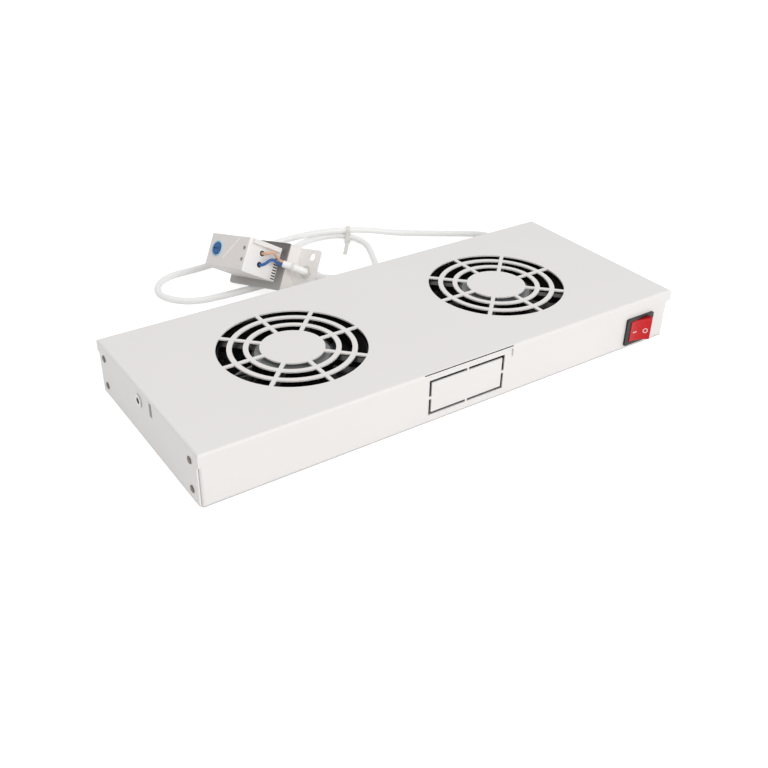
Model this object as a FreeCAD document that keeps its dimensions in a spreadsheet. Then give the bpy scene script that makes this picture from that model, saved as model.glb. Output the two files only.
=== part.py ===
import FreeCAD, Part
import math
import os
import re
import Sketcher

# Rack fan tray, one rack unit high: a folded steel tray with a folded cover, two 120 mm mains fans,
# a rocker switch, a mains inlet and, on a cable behind it, a small thermostat on a Z bracket.
# X runs along the tray, +Y to its back, +Z up. The origin is the middle of the underside. Millimetres.

doc = FreeCAD.newDocument("rack_fan_tray")
sheet = doc.addObject("Spreadsheet::Sheet", "sizes")
Vector = FreeCAD.Vector
measures = {
    # folded steel tray and cover
    "tray_length": 445, "tray_depth": 180, "tray_height": 44, "sheet_thick": 1.2, "fold_gap": 0.3,
    "bend_radius": 2, "lip_height": 10, "end_setback": 3.5, "flange_width": 26, "bend_relief": 3,
    # grilles in the cover and the floor
    "fan_offset": 101, "web_width": 4.1, "spoke_width": 3.3, "slot_width": 8.3, "grille_core": 25.2,
    "intake_core": 24, "intake_web": 6, "intake_slot": 13.5,
    # controller knock-out and the notch above it
    "knock_length": 72.5, "knock_height": 30.5, "knock_x": 0.5, "knock_z": 22, "knock_slot": 2.4,
    "bridge_flat": 1.6, "bridge_side": 2.2, "notch_length": 85, "notch_slit": 1, "notch_x": 1.5,
    "notch_round": 3,
    # end panel fasteners
    "screw_y": 76.5, "screw_low": 9, "screw_high": 33, "screw_radius": 1.5, "screw_head": 2.9,
    "screw_head_high": 0.9, "screw_long": 7, "insert_y": 8, "insert_z": 33, "insert_radius": 2.5,
    "insert_barrel": 4.4, "insert_flange": 5.1, "insert_long": 12, "insert_lip": 1, "hole_gap": 0.1,
    "side_slot_y": -13.5, "side_slot_z": 30, "side_slot_wide": 3, "side_slot_high": 11.5,
    # fan
    "fan_size": 120, "fan_depth": 38, "fan_corner": 5, "fan_flange": 4.5, "fan_bore": 57,
    "duct_wall": 2.5, "fan_pitch": 105, "fan_hole": 2.2, "boss_radius": 31, "boss_high": 7,
    "strut_width": 7, "strut_high": 5, "tube_radius": 6, "bearing_radius": 4, "bearing_long": 5,
    "shaft_radius": 1.5, "running_gap": 0.05, "hub_radius": 31.5, "hub_wall": 2.5, "hub_low": 3,
    "hub_high": 26, "blade_count": 7, "blade_tip_gap": 1.2, "blade_thick": 1.8, "blade_low": 6,
    "blade_rise": 21, "blade_root": 10, "blade_reach": 17, "rotor_wall": 4, "rotor_high": 12,
    "stator_gap": 0.6, "stator_high": 13, "plate_thick": 0.6, "plate_margin": 1.7, "plate_gap": 0.1,
    "bolt_radius": 2, "bolt_head": 3.6, "bolt_long": 9, "nut_flats": 7, "nut_high": 3.2, "fan_lead": 3,
    # rocker switch
    "switch_x": 188, "switch_z": 16, "bezel_length": 31, "bezel_height": 25, "bezel_thick": 2,
    "cut_length": 28, "cut_height": 22, "switch_deep": 24, "switch_wall": 4, "switch_rim": 0.8,
    "bezel_round": 1.2, "rocker_gap": 0.3, "rocker_swing": 17, "rocker_rise": 2, "rocker_crown": 4.2,
    "rocker_pivot": 0.5, "rocker_foot": 6, "rocker_lean": 1.6, "tab_thick": 0.8, "tab_width": 6.3,
    "tab_long": 8, "tab_pitch_x": 14, "tab_pitch_z": 10,
    # mains inlet
    "inlet_x": 172, "inlet_z": 22, "inlet_length": 30.8, "inlet_height": 23.4, "inlet_face": 2.2,
    "inlet_body_length": 27.4, "inlet_body_height": 20, "inlet_deep": 19, "inlet_mouth_length": 24.2,
    "inlet_mouth_height": 16.2, "inlet_socket": 17, "inlet_chamfer": 3.5, "pin_thick": 2, "pin_high": 4,
    "pin_long": 12.5, "pin_pitch": 14, "pin_drop": 2,
    # cable gland
    "gland_x": 200, "gland_z": 20, "gland_radius": 8, "gland_flats": 19, "gland_collar": 4,
    "gland_dome": 10, "gland_inside": 9, "gland_nut": 4, "seal_long": 8, "seal_wall": 2,
    # terminal block, earth stud and wiring
    "block_length": 24, "block_width": 16, "block_height": 14, "block_y": 50, "block_flange": 3,
    "block_round": 1, "wire_radius": 1.1, "stud_x": 206, "stud_y": 30, "stud_radius": 2, "stud_high": 9,
    "lug_radius": 4.4, "lug_thick": 0.8, "lane_gap": 3,
    # thermostat, in its own frame with its dial towards -Y
    "stat_length": 56, "stat_height": 31, "stat_front": 29, "stat_base": 9, "stat_round": 1.5,
    "stat_slope": 4, "dial_x": 12.8, "dial_z": -14.1, "dial_radius": 5.6, "dial_high": 2.6,
    "dial_sink": 1.6, "dial_gap": 0.25, "dial_notches": 14, "dial_notch": 0.45, "spindle_radius": 1.2,
    "screw_hole_x": 50.7, "core_pitch": 10.4, "screw_hole": 1.9, "core_hole": 1.9, "core_hole_deep": 9,
    "core_depth": 17, "vent_count": 8, "vent_width": 1.1, "vent_pitch": 2.6, "vent_deep": 3,
    "core_radius": 1.4,
    # Z bracket, in the thermostat's frame
    "bracket_thick": 1.2, "bracket_left": 7, "bracket_right": 8.5, "bracket_above": 6,
    "bracket_below": 7.0, "bracket_step": 14.5, "bracket_foot": 28, "bracket_round": 3,
    "foot_hole": 3.2, "foot_hole_in": 10.2, "foot_hole_down": 7, "grommet_in": 15, "grommet_hole": 4.6,
    "grommet_flange": 6, "grommet_lip": 1.2, "stat_screw_pitch": 40, "stat_screw": 1.5,
    "stat_screw_long": 5,
    # thermostat cable and its tie
    "cord_radius": 3.15, "tie_wide": 4, "tie_thick": 0.9, "tie_gap": 0.35, "head_long": 5.5,
    "head_high": 5, "tail_long": 28, "strand_gap": 6.53,
    # where the thermostat lies behind the tray
    "lie_x": -66.9, "lie_y": 205.85, "lie_z": 54.2, "lie_yaw": -77.3, "lie_pitch": -12.98,
    "lie_roll": -33.24,
}
for row, (word, number) in enumerate(measures.items(), 1):
    sheet.set(f"A{row}", word)
    sheet.set(f"B{row}", str(number))
    sheet.setAlias(f"B{row}", word)
doc.recompute()


def value(word):
    """A driving dimension as a number."""
    return float(sheet.get(word))


def linked(text):
    """An expression in which each driving dimension is named on the sheet."""
    return re.sub(r"[a-z_]+", lambda m: "sizes." + m.group() if m.group() in measures else m.group(), str(text))


def bind(thing, **expressions):
    for prop, text in expressions.items():
        thing.setExpression(prop, linked(text))
    return thing


def place(thing, x=0, y=0, z=0):
    for axis, text in zip("xyz", (x, y, z)):
        thing.setExpression(f"Placement.Base.{axis}", linked(text))
    return thing


def turn(thing, axis, degrees):
    thing.Placement = FreeCAD.Placement(thing.Placement.Base, FreeCAD.Rotation(Vector(*axis), degrees))
    return thing


def box(name, length, width, height, x=0, y=0, z=0):
    """A block centred on x and y that stands on z."""
    block = bind(doc.addObject("Part::Box", name), Length=length, Width=width, Height=height)
    return place(block, f"({x}) - ({length}) / 2", f"({y}) - ({width}) / 2", z)


def disc(name, radius, height, x=0, y=0, z=0):
    return place(bind(doc.addObject("Part::Cylinder", name), Radius=radius, Height=height), x, y, z)


def rod(name, radius, length, x, y, z, axis):
    """A round bar that starts at a point and runs along +X or +Y."""
    bar = bind(doc.addObject("Part::Cylinder", name), Radius=radius, Height=length)
    turn(bar, (0, 1, 0) if axis == "X" else (1, 0, 0), 90 if axis == "X" else -90)
    return place(bar, x, y, z)


def fuse(name, *things):
    joined = doc.addObject("Part::MultiFuse", name)
    joined.Shapes = list(things)
    return joined


def cut(name, base, *tools):
    result = doc.addObject("Part::Cut", name)
    result.Base = base
    result.Tool = tools[0] if len(tools) == 1 else fuse(name + "_tools", *tools)
    return result


def origin_plane(body, role):
    return next(item for item in body.Origin.OriginFeatures if item.Role == role)


def outline(body, name, plane, points):
    """A closed sketch on an origin plane whose corners are bound to the sheet."""
    sketch = body.newObject("Sketcher::SketchObject", name)
    sketch.AttachmentSupport = [(origin_plane(body, plane), "")]
    sketch.MapMode = "FlatFace"
    count = len(points)
    for corner in range(count):
        start = Vector(corner, corner ** 2, 0)
        end = Vector(corner + 1, (corner + 1) ** 2, 0)
        sketch.addGeometry(Part.LineSegment(start, end), False)
    for corner in range(count):
        sketch.addConstraint(Sketcher.Constraint("Coincident", corner, 2, (corner + 1) % count, 1))
    for corner, (across, up) in enumerate(points):
        for kind, text in (("DistanceX", across), ("DistanceY", up)):
            index = sketch.addConstraint(Sketcher.Constraint(kind, -1, 1, corner, 1, 1.0))
            sketch.setExpression(f"Constraints[{index}]", linked(text))
    return sketch


def padded(name, plane, points, length):
    """A body padded from a closed outline; plane XZ pads towards -Y, YZ towards +X, XY towards +Z."""
    body = doc.addObject("PartDesign::Body", name)
    sketch = outline(body, name + "_sketch", plane, points)
    pad = body.newObject("PartDesign::Pad", name + "_pad")
    pad.Profile = sketch
    bind(pad, Length=length)
    return body


def turned(name, points):
    """A body turned about Z from a half section given as radius and height."""
    body = doc.addObject("PartDesign::Body", name)
    sketch = outline(body, name + "_sketch", "XZ_Plane", points)
    spin = body.newObject("PartDesign::Revolution", name + "_turn")
    spin.Profile = sketch
    spin.ReferenceAxis = (sketch, ["V_Axis"])
    spin.Angle = 360
    return body


def edges_where(shape, test):
    return [f"Edge{i + 1}" for i, edge in enumerate(shape.Edges) if test(edge.BoundBox)]


def upright(box_of_edge):
    return box_of_edge.ZLength > 1 and box_of_edge.XLength < 0.01 and box_of_edge.YLength < 0.01


def rounded(body, radius, test=upright):
    """Round the edges of a body that pass a test."""
    doc.recompute()
    base = (body.Tip, edges_where(body.Shape, test))
    fillet = body.newObject("PartDesign::Fillet", body.Name + "_round")
    fillet.Base = base
    bind(fillet, Radius=radius)
    return body


def rectangle(length, width):
    """The corners of a rectangle centred on the origin."""
    x, y = f"({length}) / 2", f"({width}) / 2"
    return [(f"-{x}", f"-{y}"), (x, f"-{y}"), (x, y), (f"-{x}", y)]


def block(name, length, width, height, radius):
    """A block centred on the origin that stands on z = 0, with its upright edges rounded."""
    return rounded(padded(name, "XY_Plane", rectangle(length, width), height), radius)


def copies(name, source, spots):
    """Several copies of one piece, each moved to its own spot and turned by its own rotation."""
    parts = []
    for number, (rotation, x, y, z) in enumerate(spots):
        link = doc.addObject("App::Link", f"{name}_{number}")
        link.LinkedObject = source
        link.LinkTransform = True
        link.Placement = FreeCAD.Placement(Vector(), rotation)
        parts.append(place(link, x, y, z))
    group = doc.addObject("Part::Compound", name)
    group.Links = parts
    return group


nodes = []


def node(label, source, x=0, y=0, z=0):
    """Name a finished piece; where it is made at the origin, also move it to its place."""
    holder = doc.addObject("Part::Compound", "node_" + label)
    holder.Links = [source]
    if source.Label == label:
        source.Label = label + "_made"
    holder.Label = label
    nodes.append(place(holder, x, y, z))
    return holder


plain = FreeCAD.Rotation()
face_front = FreeCAD.Rotation(Vector(1, 0, 0), 90)
face_back = FreeCAD.Rotation(Vector(1, 0, 0), -90)
face_left = FreeCAD.Rotation(Vector(0, 1, 0), -90)
face_right = FreeCAD.Rotation(Vector(0, 1, 0), 90)


# ---------------------------------------------------------------- cover and tray, folded from sheet

def folded(name, length, depth, height, radius, test):
    """A block whose folds are rounded; one inside the other leaves a folded pan."""
    return rounded(padded(name, "XY_Plane", rectangle(length, depth), height), radius, test)


def ring_slots(name, core, slot, web, count, spokes, bar_wide, height):
    """The cutter of a round grille: rings of slots about a solid core, parted by straight webs."""
    rings = []
    for ring in range(count):
        inner = f"{core} + {ring} * ({slot} + {web})"
        outer = disc(f"{name}_outer_{ring}", f"{inner} + {slot}", height)
        rings.append(cut(f"{name}_ring_{ring}", outer, disc(f"{name}_inner_{ring}", inner, height)))
    reach = f"2 * ({core} + {count} * ({slot} + {web}))"
    bars = []
    for spoke in range(spokes // 2):
        bar = bind(doc.addObject("Part::Box", f"{name}_web_{spoke}"), Length=reach, Width=bar_wide, Height=height)
        angle = 360 * spoke / spokes
        turn(bar, (0, 0, 1), angle)
        place(bar, f"-({reach}) / 2 * cos({angle}) + {bar_wide} / 2 * sin({angle})",
              f"-({reach}) / 2 * sin({angle}) - {bar_wide} / 2 * cos({angle})", 0)
        bars.append(bar)
    return cut(name, fuse(name + "_rings", *rings), *bars)


def both_fans(name, cutter, z):
    """One cutter over each fan."""
    return copies(name, cutter, [(plain, "-fan_offset", 0, z), (plain, "fan_offset", 0, z)])


def top_fold(b):
    """The four folds round the top of the cover."""
    return b.ZLength < 0.01 and b.ZMin > 1


def body_fold(b):
    """The folds of the tray: its long bottom edges and its four corners."""
    long_bottom = b.ZMax < 0.01 and b.XLength > 1 and b.YLength < 0.01
    return long_bottom or upright(b)


through = "3 * sheet_thick"
inner_fold = "bend_radius - sheet_thick"
cover_pan = cut("cover_pan", folded("cover_outer", "tray_length", "tray_depth", "tray_height", "bend_radius", top_fold),
                folded("cover_inner", "tray_length - 2 * sheet_thick", "tray_depth - 2 * sheet_thick",
                       "tray_height - sheet_thick", inner_fold, top_fold))
under_lip = "tray_height - lip_height"
lip_cut = box("lip_cut", "tray_length - 2 * sheet_thick", "tray_depth + 2", under_lip)
corner_cut = cut("corner_cut", box("corner_outer", "tray_length + 2", "tray_depth + 2", under_lip),
                 box("corner_keep", "tray_length + 4", "tray_depth - 2 * end_setback", under_lip))
notch_high = "lip_height - bend_radius"
notch = block("notch", "notch_length", notch_high, "4 * sheet_thick", "notch_round")
notch_place = copies("notch_place", notch, [(face_back, "notch_x", "-tray_depth / 2 - sheet_thick",
                                             f"{under_lip} + ({notch_high}) / 2")])
notch_foot = box("notch_foot", "notch_length", through, "notch_round", "notch_x", "-tray_depth / 2", under_lip)
grille = ring_slots("grille", "grille_core", "slot_width", "web_width", 3, 8, "spoke_width", through)
grilles = both_fans("grilles", grille, "tray_height - 2 * sheet_thick")


def end_bars(name, radius, spots):
    """Round cutters through both ends at the spots given as y and z."""
    return [rod(f"{name}_{i}", radius, "tray_length + 2", "-tray_length / 2 - 1", y, z, "X")
            for i, (y, z) in enumerate(spots)]


screw_spots = [(y, z) for y in ("-screw_y", "screw_y") for z in ("screw_low", "screw_high")]
side_slot = box("side_slot", "tray_length + 2", "side_slot_wide", "side_slot_high", 0, "side_slot_y", "side_slot_z")
top_cover = cut("top_cover", cover_pan, lip_cut, corner_cut, notch_place, notch_foot, grilles, side_slot,
                *end_bars("cover_screw", "screw_radius + 0.2", screw_spots),
                *end_bars("cover_insert", "insert_barrel + hole_gap", [("insert_y", "insert_z")]))
node("top_cover", top_cover)

inset = "(sheet_thick + fold_gap)"
body_length = f"tray_length - 2 * ({inset})"
body_depth = f"tray_depth - 2 * ({inset})"
body_height = f"tray_height - {inset}"
wall_y = f"tray_depth / 2 - {inset}"
body_outer = folded("body_outer", body_length, body_depth, body_height, "bend_radius", body_fold)
body_inner = folded("body_inner", f"{body_length} - 2 * sheet_thick", f"{body_depth} - 2 * sheet_thick", body_height,
                    inner_fold, body_fold)
body_pan = cut("body_pan", body_outer, place(body_inner, 0, 0, "sheet_thick"))
end_window = box("end_window", "tray_length + 2", f"{body_depth} - 2 * flange_width", body_height, 0, 0, "sheet_thick")
end_reach = "(tray_length - " + body_length + ") / 2 + sheet_thick + bend_radius"
reliefs = [box(f"relief_{name}", end_reach, body_depth, "bend_relief", f"{sign}(tray_length - {end_reach}) / 2")
           for name, sign in (("left", "-"), ("right", ""))]
intake = ring_slots("intake", "intake_core", "intake_slot", "intake_web", 2, 4, "intake_web", through)
intakes = both_fans("intakes", intake, "-sheet_thick")
fan_screw_spots = [(plain, f"{side} + {i} * fan_pitch / 2", f"{j} * fan_pitch / 2", 0)
                   for side in ("-fan_offset", "fan_offset") for i in (-1, 1) for j in (-1, 1)]
fan_screw_holes = copies("fan_screw_holes", disc("fan_screw_hole", "bolt_head + 0.1", through), fan_screw_spots)


def wall_box(name, length, height, x, z, wall):
    """A cutter through the front wall (-1) or the back wall (1), centred on x and z."""
    return box(name, length, through, height, x, f"{wall} * ({wall_y} - sheet_thick / 2)", f"({z}) - ({height}) / 2")


knock_ring = cut("knock_ring", wall_box("knock_outer", "knock_length", "knock_height", "knock_x", "knock_z", -1),
                 wall_box("knock_inner", "knock_length - 2 * knock_slot", "knock_height - 2 * knock_slot",
                          "knock_x", "knock_z", -1),
                 wall_box("bridge_upright", "bridge_flat", "knock_height + 1", "knock_x", "knock_z", -1),
                 wall_box("bridge_level", "knock_length + 1", "bridge_side", "knock_x", "knock_z", -1))
switch_cut = wall_box("switch_cut", "cut_length", "cut_height", "switch_x", "switch_z", -1)
inlet_cut = wall_box("inlet_cut", "inlet_body_length", "inlet_body_height", "inlet_x", "inlet_z", 1)
gland_cut = rod("gland_cut", "gland_radius + hole_gap", through, "gland_x", f"{wall_y} - 2 * sheet_thick", "gland_z", "Y")
wall_notch = box("wall_notch", "notch_length", through, "tray_height", "notch_x", f"-({wall_y})",
                 "tray_height - bend_radius - notch_slit")
block_hole = disc("block_hole", "screw_radius", through, 0, "block_y", "-sheet_thick")
body_tray = cut("body_tray", body_pan, end_window, *reliefs, intakes, fan_screw_holes, knock_ring, switch_cut,
                wall_notch, inlet_cut, gland_cut, block_hole, *end_bars("body_screw", "screw_radius", screw_spots))
node("body_tray", body_tray)

# Pan-head screws hold each end panel to the flanges behind it.
end_screw = turned("end_screw", [(0, 0), ("screw_radius", 0), ("screw_radius", "screw_long"),
                                 ("screw_head", "screw_long"),
                                 ("screw_head", "screw_long + screw_head_high / 2"),
                                 ("screw_head * 0.7", "screw_long + screw_head_high"),
                                 (0, "screw_long + screw_head_high")])
screw_root = "tray_length / 2 - screw_long"
end_screws = copies("end_screws", end_screw,
                    [(face_left, f"-({screw_root})", y, z) for y, z in screw_spots]
                    + [(face_right, screw_root, y, z) for y, z in screw_spots])
node("end_screws", end_screws)

# Threaded inserts, pressed into the end panels, take the rack's own screws.
insert = turned("insert", [("insert_radius", 0), ("insert_barrel", 0), ("insert_barrel", "insert_long"),
                           ("insert_flange", "insert_long"), ("insert_flange", "insert_long + insert_lip"),
                           ("insert_radius", "insert_long + insert_lip")])
insert_root = "tray_length / 2 - insert_long"
inserts = copies("inserts", insert, [(face_left, f"-({insert_root})", "insert_y", "insert_z"),
                                     (face_right, insert_root, "insert_y", "insert_z")])
node("threaded_inserts", inserts)

# ---------------------------------------------------------------- fan, made once at its own origin

half_pitch = "fan_pitch / 2"
corner_spots = [(plain, f"{i} * {half_pitch}", f"{j} * {half_pitch}", 0) for i in (-1, 1) for j in (-1, 1)]
duct_radius = "fan_bore + duct_wall"
fan_block = block("fan_block", "fan_size", "fan_size", "fan_depth", "fan_corner")
waist_high = "fan_depth - 2 * fan_flange"
waist = cut("fan_waist", box("waist_box", "fan_size + 2", "fan_size + 2", waist_high, 0, 0, "fan_flange"),
            disc("waist_duct", duct_radius, waist_high, 0, 0, "fan_flange"))
fan_holes = copies("fan_holes", disc("fan_hole_bar", "fan_hole", "fan_depth"), corner_spots)
fan_shell = cut("fan_shell", fan_block, waist, disc("fan_bore_bar", "fan_bore", "fan_depth"), fan_holes)
boss_floor = "fan_depth - boss_high"
boss = turned("fan_boss", [("bearing_radius", "hub_low + hub_wall + 3"), ("tube_radius", "hub_low + hub_wall + 3"),
                           ("tube_radius", boss_floor), ("boss_radius", boss_floor), ("boss_radius", "fan_depth"),
                           ("boss_radius - plate_margin", "fan_depth"),
                           ("boss_radius - plate_margin", "fan_depth - plate_thick"),
                           ("bearing_radius", "fan_depth - plate_thick")])
strut_z = "fan_depth - strut_high - plate_thick"
struts = []
for corner in (45, 135):
    strut = bind(doc.addObject("Part::Box", f"strut_{corner}"), Length="2 * fan_bore + duct_wall",
                 Width="strut_width", Height="strut_high")
    turn(strut, (0, 0, 1), corner)
    reach = "(fan_bore + duct_wall / 2)"
    place(strut, f"-{reach} * cos({corner}) + strut_width / 2 * sin({corner})",
          f"-{reach} * sin({corner}) - strut_width / 2 * cos({corner})", strut_z)
    struts.append(strut)
strut_cross = cut("strut_cross", fuse("strut_pair", *struts), disc("strut_middle", "boss_radius - 1", "fan_depth"))
fan_frame = fuse("fan_frame", fan_shell, boss, strut_cross)

hub = turned("hub", [("shaft_radius", "hub_low"), ("hub_radius - hub_wall", "hub_low"),
                     ("hub_radius", "hub_low + hub_wall"), ("hub_radius", "hub_low + hub_high"),
                     ("hub_radius - hub_wall", "hub_low + hub_high"),
                     ("hub_radius - hub_wall", "hub_low + hub_wall"), ("shaft_radius", "hub_low + hub_wall")])


def blade_section(x, half_width, low, rise, thick):
    """A curved, pitched section across a blade: two arcs joined at the leading and trailing edges."""
    lead = Vector(x, -half_width, low)
    trail = Vector(x, half_width, low + rise)
    along = (trail - lead).normalize()
    normal = Vector(0, -along.z, along.y)
    middle = (lead + trail) * 0.5 + normal * rise * 0.12
    half = normal * thick / 2
    upper = Part.Arc(lead + half * 0.4, middle + half, trail + half * 0.4).toShape()
    lower = Part.Arc(trail - half * 0.4, middle - half, lead - half * 0.4).toShape()
    rear = Part.LineSegment(trail + half * 0.4, trail - half * 0.4).toShape()
    front = Part.LineSegment(lead - half * 0.4, lead + half * 0.4).toShape()
    return Part.Wire([upper, rear, lower, front])


def blades():
    """Pitched blades, lofted from a steep root section to a flatter tip and trimmed round."""
    tip = value("fan_bore") - value("blade_tip_gap")
    low, rise, thick = value("blade_low"), value("blade_rise"), value("blade_thick")
    root = value("hub_radius") - value("hub_wall") + 0.2
    blade = Part.makeLoft([blade_section(root, value("blade_root"), low, rise, thick),
                           blade_section(tip + 1, value("blade_reach"), low + 2, rise - 5, thick)], True)
    blade = blade.common(Part.makeCylinder(tip, value("fan_depth")))
    count = int(value("blade_count"))
    ring = [blade.copy().rotated(Vector(), Vector(0, 0, 1), 360 / count * i) for i in range(count)]
    return Part.makeCompound(ring)


doc.recompute()
blade_ring = doc.addObject("Part::Feature", "blade_ring")
blade_ring.Shape = blades()
impeller = fuse("impeller", hub, blade_ring)

shaft = disc("shaft", "shaft_radius", "fan_depth - plate_thick - hub_low - 2", 0, 0, "hub_low")
bearing = turned("bearing", [("shaft_radius + running_gap", 0), ("bearing_radius", 0),
                             ("bearing_radius", "bearing_long"), ("shaft_radius + running_gap", "bearing_long")])
low_bearing = "hub_low + hub_wall + 4"
bearings = copies("bearings", bearing, [(plain, 0, 0, low_bearing),
                                        (plain, 0, 0, "fan_depth - plate_thick - bearing_long - 3")])
rotor_out = "hub_radius - hub_wall"
rotor_z = "hub_low + hub_wall + 4"
rotor = turned("rotor", [(f"{rotor_out} - rotor_wall", rotor_z), (rotor_out, rotor_z),
                         (rotor_out, f"{rotor_z} + rotor_high"),
                         (f"{rotor_out} - rotor_wall", f"{rotor_z} + rotor_high")])
stator_out = f"{rotor_out} - rotor_wall - stator_gap"
stator_mid = f"{rotor_z} + rotor_high / 2"
stator = turned("stator", [("tube_radius + running_gap", f"{stator_mid} - stator_high / 2"),
                           (f"{stator_out} - 5", f"{stator_mid} - stator_high / 2"),
                           (f"{stator_out} - 4", f"{stator_mid} - stator_high / 2 + 3"),
                           (stator_out, f"{stator_mid} - stator_high / 2 + 3"),
                           (stator_out, f"{stator_mid} + stator_high / 2 - 3"),
                           (f"{stator_out} - 4", f"{stator_mid} + stator_high / 2 - 3"),
                           (f"{stator_out} - 5", f"{stator_mid} + stator_high / 2"),
                           ("tube_radius + running_gap", f"{stator_mid} + stator_high / 2")])
motor_plate = disc("motor_plate", "boss_radius - plate_margin - plate_gap", "plate_thick", 0, 0, "fan_depth - plate_thick")
bolt = turned("bolt", [(0, 0.05), ("bolt_head", 0.05), ("bolt_radius", "sheet_thick"), ("bolt_radius", "bolt_long"),
                       (0, "bolt_long")])


def hexagon(name, flats, height, hole):
    """A hexagon nut on the origin."""
    prism = bind(doc.addObject("Part::Prism", name + "_prism"), Circumradius=f"({flats}) / 2 / cos(30)", Height=height)
    prism.Polygon = 6
    return cut(name, prism, disc(name + "_hole", hole, height))


nut = hexagon("nut", "nut_flats", "nut_high", "bolt_radius")
bolts = copies("bolts", bolt, corner_spots)
nuts = copies("nuts", nut, [(plain, x, y, "sheet_thick + fan_flange") for _, x, y, _ in corner_spots])

for side, x in (("left", "-fan_offset"), ("right", "fan_offset")):
    for part, source in (("frame", fan_frame), ("impeller", impeller), ("shaft", shaft), ("bearings", bearings),
                         ("rotor_ring", rotor), ("stator", stator), ("motor_plate", motor_plate)):
        node(f"fan_{side}_{part}", source, x, 0, "sheet_thick")
    node(f"fan_{side}_screws", bolts, x, 0, 0)
    node(f"fan_{side}_nuts", nuts, x, 0, 0)

# ---------------------------------------------------------------- rocker switch in the front wall

bezel = block("bezel", "bezel_length", "bezel_height", "bezel_thick", "bezel_round")
switch_body = block("switch_body", "cut_length - 0.3", "cut_height - 0.3", "switch_deep", "bezel_round")
switch_face = f"-({wall_y}) - bezel_thick"
front_shell = copies("switch_shell", bezel, [(face_back, 0, switch_face, 0)])
rear_shell = copies("switch_rear", switch_body, [(face_back, 0, f"-({wall_y})", 0)])
pivot_y = f"{switch_face} + rocker_pivot + bezel_thick"
rocker_radius = "cut_length / 2 - 0.15 - switch_wall + rocker_lean"
rocker_high = "cut_height - 0.3 - 2 * switch_rim"
well_disc = disc("rocker_well", f"{rocker_radius} + rocker_gap", rocker_high, 0, pivot_y, f"-({rocker_high}) / 2")
well_keep = box("rocker_well_keep", "cut_length - 0.3 - 2 * switch_wall + 2 * rocker_lean + 2 * rocker_gap", "switch_deep",
                rocker_high, 0, pivot_y, f"-({rocker_high}) / 2")
well = doc.addObject("Part::Common", "rocker_space")
well.Base = well_disc
well.Tool = well_keep
housing = cut("switch_housing", fuse("switch_solid", front_shell, rear_shell), well)
node("switch_housing", housing, "switch_x", 0, "switch_z")


def rocker_shape():
    """The rocker about its own pivot: a round back, and a front of two faces that rise to their outer ends."""
    radius = value("cut_length") / 2 - 0.15 - value("switch_wall") + value("rocker_lean")
    rise, crown, foot = value("rocker_rise"), value("rocker_crown"), value("rocker_foot")
    side_y = -(crown + rise)
    side_x = math.sqrt(radius ** 2 - side_y ** 2)
    foot_x = math.sqrt(radius ** 2 - foot ** 2)
    left, right = Vector(-side_x, side_y), Vector(side_x, side_y)
    face = Part.Arc(left, Vector(0, -crown), right).toShape()
    right_arc = Part.Arc(right, Vector(radius, 0), Vector(foot_x, foot)).toShape()
    back = Part.LineSegment(Vector(foot_x, foot), Vector(-foot_x, foot)).toShape()
    left_arc = Part.Arc(Vector(-foot_x, foot), Vector(-radius, 0), left).toShape()
    tall = value("cut_height") - 0.3 - 2 * value("switch_rim") - 2 * value("rocker_gap")
    profile = Part.Face(Part.Wire([face, right_arc, back, left_arc]))
    solid = profile.extrude(Vector(0, 0, tall))
    solid.translate(Vector(0, 0, -tall / 2))
    ends = [edge for edge in solid.Edges if edge.BoundBox.YMax < side_y + rise + 0.01 and edge.BoundBox.ZLength < 0.1]
    solid = solid.makeFillet(0.8, ends)
    return solid.rotated(Vector(), Vector(0, 0, 1), -value("rocker_swing"))


rocker = doc.addObject("Part::Feature", "rocker")
rocker.Shape = rocker_shape()
node("switch_rocker", rocker, "switch_x", pivot_y, "switch_z")
tab = box("tab", "tab_thick", "tab_long", "tab_width")
tab_y = f"-({wall_y}) + switch_deep + tab_long / 2"
tabs = copies("tabs", tab, [(plain, f"{i} * tab_pitch_x / 2", tab_y, f"{j} * tab_pitch_z / 2 - tab_width / 2")
                            for i in (-1, 1) for j in (-1, 1)])
node("switch_terminals", tabs, "switch_x", 0, "switch_z")

# ---------------------------------------------------------------- mains inlet in the back wall


def inlet_outline(length, height, chamfer):
    """The inlet's keyed outline, with its two upper corners cut off."""
    x, z = f"({length}) / 2", f"({height}) / 2"
    return [(f"-{x}", f"-{z}"), (x, f"-{z}"), (x, f"{z} - {chamfer}"), (f"{x} - {chamfer}", z),
            (f"-{x} + {chamfer}", z), (f"-{x}", f"{z} - {chamfer}")]


inlet_front = f"{wall_y} + inlet_face"
inlet_plate = block("inlet_plate", "inlet_length", "inlet_height", "inlet_face", "bezel_round")
inlet_flange = copies("inlet_flange", inlet_plate, [(face_front, 0, inlet_front, 0)])
inlet_trunk = box("inlet_trunk", "inlet_body_length - 0.3", "inlet_deep", "inlet_body_height - 0.3", 0,
                  f"{wall_y} - inlet_deep / 2", "-(inlet_body_height - 0.3) / 2")
inlet_core = padded("inlet_core", "XZ_Plane", inlet_outline("inlet_mouth_length", "inlet_mouth_height", "inlet_chamfer"),
                    "inlet_socket")
inlet_mouth = copies("inlet_mouth", inlet_core, [(plain, 0, inlet_front, 0)])
inlet_housing = cut("inlet_housing", fuse("inlet_solid", inlet_flange, inlet_trunk), inlet_mouth)
node("inlet_housing", inlet_housing, "inlet_x", 0, "inlet_z")
inlet_back = f"{wall_y} - inlet_deep"
pin_root = f"{inlet_front} - inlet_socket"
pin = box("pin", "pin_thick", "pin_long", "pin_high")
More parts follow.
